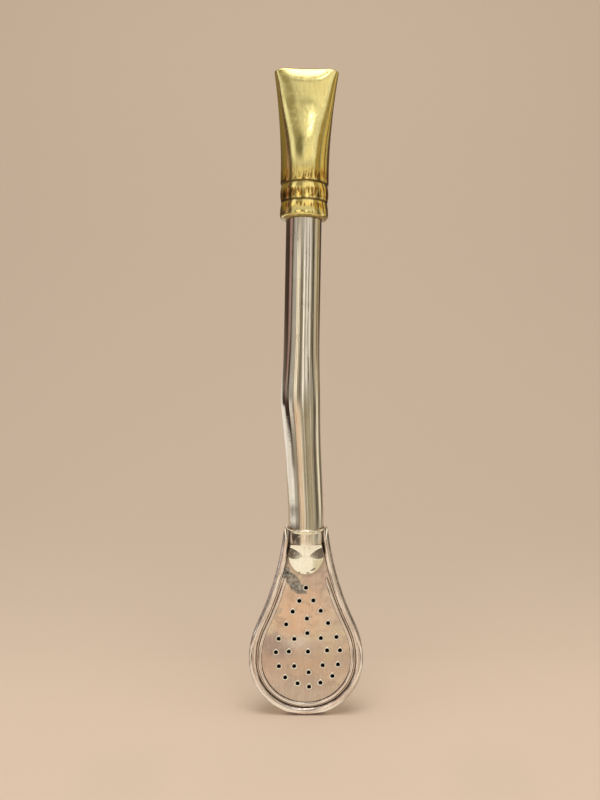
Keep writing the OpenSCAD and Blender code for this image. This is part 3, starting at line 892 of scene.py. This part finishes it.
def wire_metal(name, bright, dull, darkened, rough):
    """Half-round wire: darker toward both edges and along a broken hair line in its middle, with
    tarnish on the metal between and fine scratches."""
    material, tree, along, scratch, tarnish = start_metal(name, False)
    across = axis(tree, lay_of(tree), "X")
    colour = blend(tree, tarnish["Clouds"], bright, dull, 0.6)
    uneven = times(tree, sums(tree, "SUBTRACT", noise(tree, along, 700.0), 0.5), WIRE_UNEVEN)
    edge = ramp(tree, plus(tree, away(tree, across), uneven), *WIRE_DARK_EDGE)
    hair = ramp(tree, away(tree, plus(tree, across, uneven)), *WIRE_HAIR, 1.0, 0.0)
    broken = ramp(tree, noise(tree, along, 140.0), 0.42, 0.58)
    colour = blend(tree, times(tree, hair, broken), colour, darkened, 0.55)
    # Darker toward both edges of the wire
    colour = blend(tree, edge, colour, darkened, 0.88)
    colour = blend(tree, fine_marks(tree, scratch, tarnish, 0.25, 1.0), colour, dull)
    wear = plus(tree, times(tree, tarnish["Blotches"], 0.4), edge)
    return finish_metal(material, colour, wear, (1.0, rough, rough + 0.2), scratch["Height"], 0.2)


# Brass, with heights over the collar's lower lip in millimetres: where each row of flecks starts, is full,
# fades and ends, where the polish turns satin, how far dark deposits reach from a joint and painted shade
# from the lip, and the painted dark reflection on the panel
BRASS = (0.81, 0.72, 0.32)
BRASS_DULL = (0.71, 0.60, 0.25)
BRASS_GOLD = (0.98, 0.77, 0.25)
FLECK_ROWS = [(9.4, 10.8, 11.2, 14.8), (5.0, 5.8, 7.6, 8.4), (2.2, 2.8, 3.5, 4.1)]
SATIN_Z = (12.0, 20.0)
JOINT_GRIME = (0.1, 0.55)
COLLAR_LIP_SHADE = (0.2, 0.8)
PAINTED_DARK_STREAK = ((0.36, 0.31, 0.13), (-1.5, 19.5), (1.5, 5.0), 4, 0.5, (0.0, 0.7), 0.7)


def mouth_brass():
    """Polished brass of the mouthpiece: olive gold that clouds a little, warmer and brighter on the rings
    and just above them, with brown flecks in upright rows there, dark deposits in the two joint lines,
    painted shade on the collar's lower lip and a painted dark reflection low on the panel. Higher up it turns
    satin."""
    material, tree, along, scratch, tarnish = start_metal("mouthpiece_brass", True)
    colour = blend(tree, tarnish["Clouds"], BRASS, BRASS_DULL, 0.5)
    high = axis(tree, along, "Z")
    zone = 0.0
    for start, full, fade, end in FLECK_ROWS:
        row = times(tree, ramp(tree, high, start, full), ramp(tree, high, fade, end, 1.0, 0.0))
        zone = plus(tree, zone, row)
    golden = times(tree, ramp(tree, zone, 0.0, 0.6, 0.4, 1.0), ramp(tree, high, *SATIN_Z, 1.0, 0.0))
    colour = blend(tree, golden, colour, BRASS_GOLD)
    fleck = noise(tree, mapped(tree, along, (1900, 1900, 260)), 1.0, 3.0, 0.6, 0.5)
    fleck = times(tree, ramp(tree, fleck, 0.48, 0.53), zone)
    colour = blend(tree, fleck, colour, (0.30, 0.13, 0.02), 0.9)
    # Painted shade under the collar's lower lip, added to the dark joint lines
    joint_dirt_and_lip_shade = ramp(tree, high, *COLLAR_LIP_SHADE, 0.75, 0.0)
    for joint in (COLLAR_H, COLLAR_H + BAND_H):
        joint_dirt_and_lip_shade = plus(tree, joint_dirt_and_lip_shade, ramp(tree, away(tree, high, joint), *JOINT_GRIME, 1.0, 0.0))
    colour = blend(tree, joint_dirt_and_lip_shade, colour, (0.10, 0.05, 0.01), 0.9)
    # Painted dark reflection: a dull olive streak low on the panel
    colour = stain_and_shade(tree, along, colour, *PAINTED_DARK_STREAK)
    colour = blend(tree, fine_marks(tree, scratch, tarnish, 0.3, 0.3), colour, (0.50, 0.36, 0.12))
    wear = plus(tree, times(tree, tarnish["Blotches"], 0.6), times(tree, scratch["Lines"], 0.3))
    wear = plus(tree, wear, times(tree, joint_dirt_and_lip_shade, 0.8))
    wear = plus(tree, wear, ramp(tree, high, *SATIN_Z, 0.0, 0.48))
    return finish_metal(material, colour, wear, (1.4, 0.06, 0.28), scratch["Height"], 0.22)


# Stage

def stage_mesh(name, points):
    """Open stage surface from a grid of points in millimetres."""
    mesh = bpy.data.meshes.new(name)
    faces = grid_faces(*points.shape[:2], False, False)
    mesh.from_pydata((points * MM).reshape(-1, 3).tolist(), [], faces.tolist(), shade_flat=False)
    return placed(name, mesh)


# Tints, and the cards on the drum round the object, each laid over those before it: bearing from the front,
# plus to the right, half width in degrees, lower and upper edge in millimetres, level and tint
WHITE, CREAM, TAN, BROWN = (1, 0.97, 0.92), (1, 0.92, 0.76), (1, 0.78, 0.58), (1, 0.66, 0.52)
OLIVE, GOLD, ROSE = (1, 0.88, 0.62), (1, 0.74, 0.30), (1, 0.60, 0.58)
DRUM_CARDS = [
    (0, 250, -300, 1300, 0.45, CREAM),
    (180, 50, -300, 900, 0.50, TAN),
    (-95, 32, 20, 92, 0.06, BROWN),
    (-156, 26, 56, 92, 1.10, WHITE),
    (-142, 40, 38, 62, 1.10, WHITE),
    (-130, 50, 24, 44, 1.10, WHITE),
    (-122, 58, 8, 30, 1.10, WHITE),
    (-135, 95, -10, 10, 0.06, BROWN),
    (-135, 95, -40, 0, 0.06, BROWN),
    (10, 40, -30, 8, 0.65, TAN),
    (-56, 8, 55, 92, 1.00, WHITE),
    (-22, 18, 5, 92, 1.00, TAN),
    (-38, 3, 5, 92, 0.30, BROWN),
    (-9, 3, 5, 92, 1.10, CREAM),
    (35, 28, 5, 90, 0.50, OLIVE),
    (12, 3, 5, 92, 0.80, CREAM),
    (22, 3, 5, 92, 0.30, OLIVE),
    (52, 3, 5, 92, 0.85, CREAM),
    (78, 10, 5, 92, 0.15, OLIVE),
    (104, 9, 14, 130, 1.10, CREAM),
    (130, 14, 5, 92, 0.20, OLIVE),
    (-130, 34, 92, 330, 0.08, BROWN),
    (-130, 34, 195, 330, 0.25, GOLD),
    (-92, 6, 92, 300, 0.45, ROSE),
    (-74, 9, 92, 270, 0.10, BROWN),
    (-52, 10, 92, 270, 0.55, WHITE),
    (-40, 3, 92, 270, 0.15, OLIVE),
    (-28, 10, 92, 240, 1.25, CREAM),
    (-8, 6, 92, 240, 0.25, OLIVE),
    (30, 22, 110, 260, 1.05, WHITE),
    (10, 4, 92, 240, 1.50, WHITE),
    (22, 3, 92, 250, 0.30, OLIVE),
    (40, 3, 92, 250, 0.30, OLIVE),
    (72, 6, 92, 300, 0.10, OLIVE),
    (94, 9, 92, 205, 0.70, OLIVE),
    (94, 9, 205, 330, 0.75, GOLD),
    (108, 4, 92, 330, 0.12, BROWN),
    (118, 5, 92, 330, 0.60, GOLD),
    (142, 16, 92, 330, 0.10, BROWN),
    (0, 60, 270, 760, 0.85, WHITE),
    (-84, 10, 250, 370, 0.12, BROWN),
    (-60, 9, 285, 390, 1.10, WHITE),
    (64, 11, 225, 420, 0.40, GOLD),
    (46, 8, 290, 390, 1.00, WHITE),
    (34, 5, 320, 430, 1.20, CREAM),
    (14, 14, 325, 432, 1.05, CREAM),
    (-29, 18, 330, 520, 0.38, OLIVE),
    (3, 14, 440, 482, 0.50, CREAM),
    (15, 9, 492, 536, 7.00, WHITE),
    (0, 60, 520, 780, 0.80, CREAM),
    (0, 60, 630, 960, 3.20, WHITE),
]
CARD_EDGE = 0.45
CARD_EDGE_H = 0.35
DRUM_R = 190.0
DRUM_MORE = 90.0
DRUM_RISE = (100.0, 180.0)
DRUM_H = 700.0


def cards_over(across, along, cards, turn=None):
    """Colour of a board under its cards: each card covers those before it, and its edges ease over a share
    of its own size. On a drum, across comes round again after a turn."""
    shine = np.zeros((*across.shape, 3))
    for middle, half, low, top, level, tint in cards:
        off = across - middle
        if turn:
            off = (off + turn / 2) % turn - turn / 2
        fade = CARD_EDGE_H * (top - low)
        inside = smooth((half - np.abs(off)) / (CARD_EDGE * half) + 0.5)
        inside = inside * smooth((along - low) / fade + 0.5) * smooth((top - along) / fade + 0.5)
        shine = shine + inside[..., None] * (level * np.array(tint) - shine)
    return shine


def painted_board(name, points, shine):
    """Board that glows with its own colours and is mirrored in the metal; camera and floor don't see it."""
    sheet = stage_mesh(name, points)
    kept = sheet.data.attributes.new("glow", "FLOAT_COLOR", "POINT")
    kept.data.foreach_set("color", np.dstack([shine, 0 * shine[..., 0] + 1]).astype(np.float32).ravel())
    material, tree = new_material(name + "_glow")
    tree.nodes.remove(tree.nodes["Principled BSDF"])
    light = add(tree, "ShaderNodeEmission", Strength=1.0)
    colours = add(tree, "ShaderNodeAttribute", attribute_name="glow").outputs["Color"]
    join(tree, colours, light.inputs["Color"])
    join(tree, light.outputs[0], tree.nodes["Material Output"].inputs["Surface"])
    sheet.data.materials.append(material)
    sheet.visible_camera = False
    sheet.visible_diffuse = False
    sheet.visible_shadow = False


def drum():
    """Drum of pale board round the object, wider above, with a lid. Past the drum's height a card lies on
    the lid, nearer to its middle the further it is."""
    lid_r = DRUM_R + DRUM_MORE
    bearing, high = np.meshgrid(np.linspace(-180, 180, 481), np.linspace(0, DRUM_H + lid_r, 246))
    a = np.radians(bearing)
    reach = DRUM_R + DRUM_MORE * smooth((high - DRUM_RISE[0]) / DRUM_RISE[1])
    reach = reach - np.maximum(0, high - DRUM_H)
    points = np.stack([reach * np.sin(a), -reach * np.cos(a), np.minimum(high, DRUM_H)], -1)
    painted_board("studio_drum", points, cards_over(bearing, high, DRUM_CARDS, 360))


# Cards on a board that lies on the floor in front, laid in the same way: place from the middle, half width,
# front and back edge in millimetres, level and tint
FLOOR_CARDS = [
    (0, 300, -400, 400, 1.00, CREAM),
    (24, 12, -14, 10, 0.72, OLIVE),
    (0, 24, -50, -26, 0.70, TAN),
    (-47, 10.5, -60, -22, 0.13, TAN),
    (47, 10.5, -60, -22, 0.15, TAN),
]
BOARD_HALF = 110.0
BOARD_DEEP = (-190.0, 40.0)
BOARD_Z = 1.0


def floor_board():
    """Pale flat board just above the floor in front, below the picture, with its own cards."""
    x, y = np.meshgrid(np.linspace(-BOARD_HALF, BOARD_HALF, 221), np.linspace(*BOARD_DEEP, 231))
    painted_board("floor_board", np.stack([x, y, 0 * x + BOARD_Z], -1), cards_over(x, y, FLOOR_CARDS))


# Paper sweep in millimetres: half width, the flat part's lines from front to back, where the rise starts and
# ends and how gentle it is, and where the paper turns from its painted lit near tone to its further tone of
# painted shade and to its upper, painted lighter tone
PAPER_NEAR_LIT = (0.72, 0.575, 0.45)
PAPER_FAR_SHADED = (0.61, 0.485, 0.372)
PAPER_TOP_LIT = (0.69, 0.55, 0.42)
PAPER_HALF = 2000.0
PAPER_FLAT = [-2000.0, -500.0, -50.0]
PAPER_RISE = (30.0, 900.0)
PAPER_GENTLE = 500.0
PAPER_SHADE_Y = (0.0, 150.0)
PAPER_LIT_Z = (120.0, 400.0)


def sweep():
    """Paper sweep: flat under the object and in front, rising behind it as a parabola; its tone is painted
    light and shade: lighter in front, deeper behind the object, and lighter again high up."""
    y = np.concatenate([PAPER_FLAT, np.linspace(*PAPER_RISE, 48)])
    z = np.maximum(0, y - PAPER_RISE[0]) ** 2 / PAPER_GENTLE
    x = np.linspace(-PAPER_HALF, PAPER_HALF, 9)
    points = np.stack(np.broadcast_arrays(x[None, :], y[:, None], z[:, None]), -1)
    floor = stage_mesh("floor_sweep", points)
    material, tree = new_material("floor_paper")
    place = add(tree, "ShaderNodeTexCoord").outputs["Object"]
    # Painted light and shade: the paper lighter in front, darker behind the object and lighter again high up
    colour = blend(tree, ramp(tree, axis(tree, place, "Y"), *PAPER_SHADE_Y), PAPER_NEAR_LIT, PAPER_FAR_SHADED)
    colour = blend(tree, ramp(tree, axis(tree, place, "Z"), *PAPER_LIT_Z), colour, PAPER_TOP_LIT)
    shader = tree.nodes["Principled BSDF"]
    join(tree, colour, shader.inputs["Base Color"])
    shader.inputs["Roughness"].default_value = 0.85
    shader.inputs["Specular IOR Level"].default_value = 0.2
    floor.data.materials.append(material)


# Room and lamp, in metres and watts
ROOM_LEVEL = 0.56
ROOM_LIGHT = (1.0, 0.97, 0.93)
ROOM_SEEN = (1.0, 0.76, 0.56)
LAMP_AT = (0.0, -0.16, 0.7)
LAMP_SIZE = (0.45, 0.36)
LAMP_POWER = 2.6
LAMP_LIGHT = (1.0, 0.98, 0.95)


def lights():
    """Even soft light from all round and one broad lamp above. Camera and mirror rays that miss the paper
    see the room in the paper's tone."""
    world = bpy.data.worlds.new("soft_room")
    bpy.context.scene.world = world
    world.use_nodes = True
    tree = world.node_tree
    room = tree.nodes["Background"]
    room.inputs["Strength"].default_value = ROOM_LEVEL
    path = add(tree, "ShaderNodeLightPath")
    seen = sums(tree, "MAXIMUM", path.outputs["Is Camera Ray"], path.outputs["Is Glossy Ray"])
    join(tree, blend(tree, seen, ROOM_LIGHT, ROOM_SEEN), room.inputs["Color"])
    lamp = bpy.data.lights.new("overhead", "AREA")
    lamp.shape = "RECTANGLE"
    lamp.size, lamp.size_y = LAMP_SIZE
    lamp.energy = LAMP_POWER
    lamp.color = LAMP_LIGHT
    overhead = placed("overhead", lamp)
    overhead.location = LAMP_AT
    overhead.visible_glossy = False


# Camera at the photograph's place, in metres: in front, a little left of the axis, looking down
CAMERA_AT = (-0.0017, -0.2626, 0.1219)
CAMERA_DOWN = np.radians(6.6)
SENSOR_WIDE = 36.0
FOCAL_LEN = 42.75
NEAREST = 0.01


def camera():
    """Camera with its lens, set level sideways and tipped down."""
    lens = bpy.data.cameras.new("camera")
    lens.sensor_width = SENSOR_WIDE
    lens.lens = FOCAL_LEN
    lens.clip_start = NEAREST
    view = placed("camera", lens)
    view.location = CAMERA_AT
    view.rotation_euler = (np.pi / 2 - CAMERA_DOWN, 0, 0)
    bpy.context.scene.camera = view


camera()
sweep()
lights()
drum()
floor_board()

brass = mouth_brass()
sleeve_metal = polished_metal(
    "sleeve_brass", True, (0.66, 0.48, 0.20), (0.50, 0.34, 0.13), (0.30, 0.20, 0.08), 0.25, 0.2, 0.3)
stem_metal = polished_metal(
    "stem_nickel_silver", True, (0.76, 0.70, 0.59), (0.69, 0.60, 0.48), (0.42, 0.36, 0.29), 0.03, 0.06, 0.16,
    drawn=22.0)
socket_metal = neck_metal("neck_nickel_silver", [])
nose_metal = neck_metal("nose_nickel_silver", NOSE_PITS)
rim_metal = wire_metal("rim_nickel_silver", (0.87, 0.76, 0.69), (0.64, 0.52, 0.46), (0.11, 0.08, 0.07), 0.10)
ear_metal = polished_metal(
    "ear_nickel_silver", False, (0.98, 0.95, 0.88), (0.92, 0.87, 0.78), (0.55, 0.50, 0.43), 0.08, 0.1, 0.1)
back_metal = polished_metal(
    "back_nickel_silver", False, (0.72, 0.65, 0.56), (0.60, 0.50, 0.40), (0.40, 0.34, 0.28), 0.18, 0.2, 0.25)
# Painted shade: the inside of the back shell, seen through the holes, is near black
inside_shade_metal = polished_metal(
    "back_inside_painted_shade", False, (0.05, 0.04, 0.035), (0.03, 0.025, 0.02), (0.02, 0.02, 0.02), 0.5, 0.3, 0.3)
burr_metal = polished_metal(
    "burr_nickel_silver", False, (0.86, 0.80, 0.72), (0.76, 0.68, 0.58), (0.5, 0.45, 0.4), 0.2, 0.2, 0.2)

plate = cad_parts["spoon_front_plate"]
plate.data.materials.clear()
plate.data.materials.append(plate_metal())

stem_tube(stem_metal)
mouthpiece_shell(brass)
mouthpiece_rings(brass, sleeve_metal)
spoon_back_shell(back_metal, inside_shade_metal)
rim_wire("outer_rim_wire", rim_metal, "outer_rim", RIM_R, RIM_R, SPOON_H)
rim_wire("inner_rim_wire", rim_metal, "inner_rim", 2 * RIM_R + RIM_GAP + BEAD_R, BEAD_R, BEAD_TOP)
neck_pieces(socket_metal)
nose_cap(nose_metal)
neck_ears(ear_metal)
hole_burrs(burr_metal)

bpy.context.scene.view_settings.view_transform = "Standard"
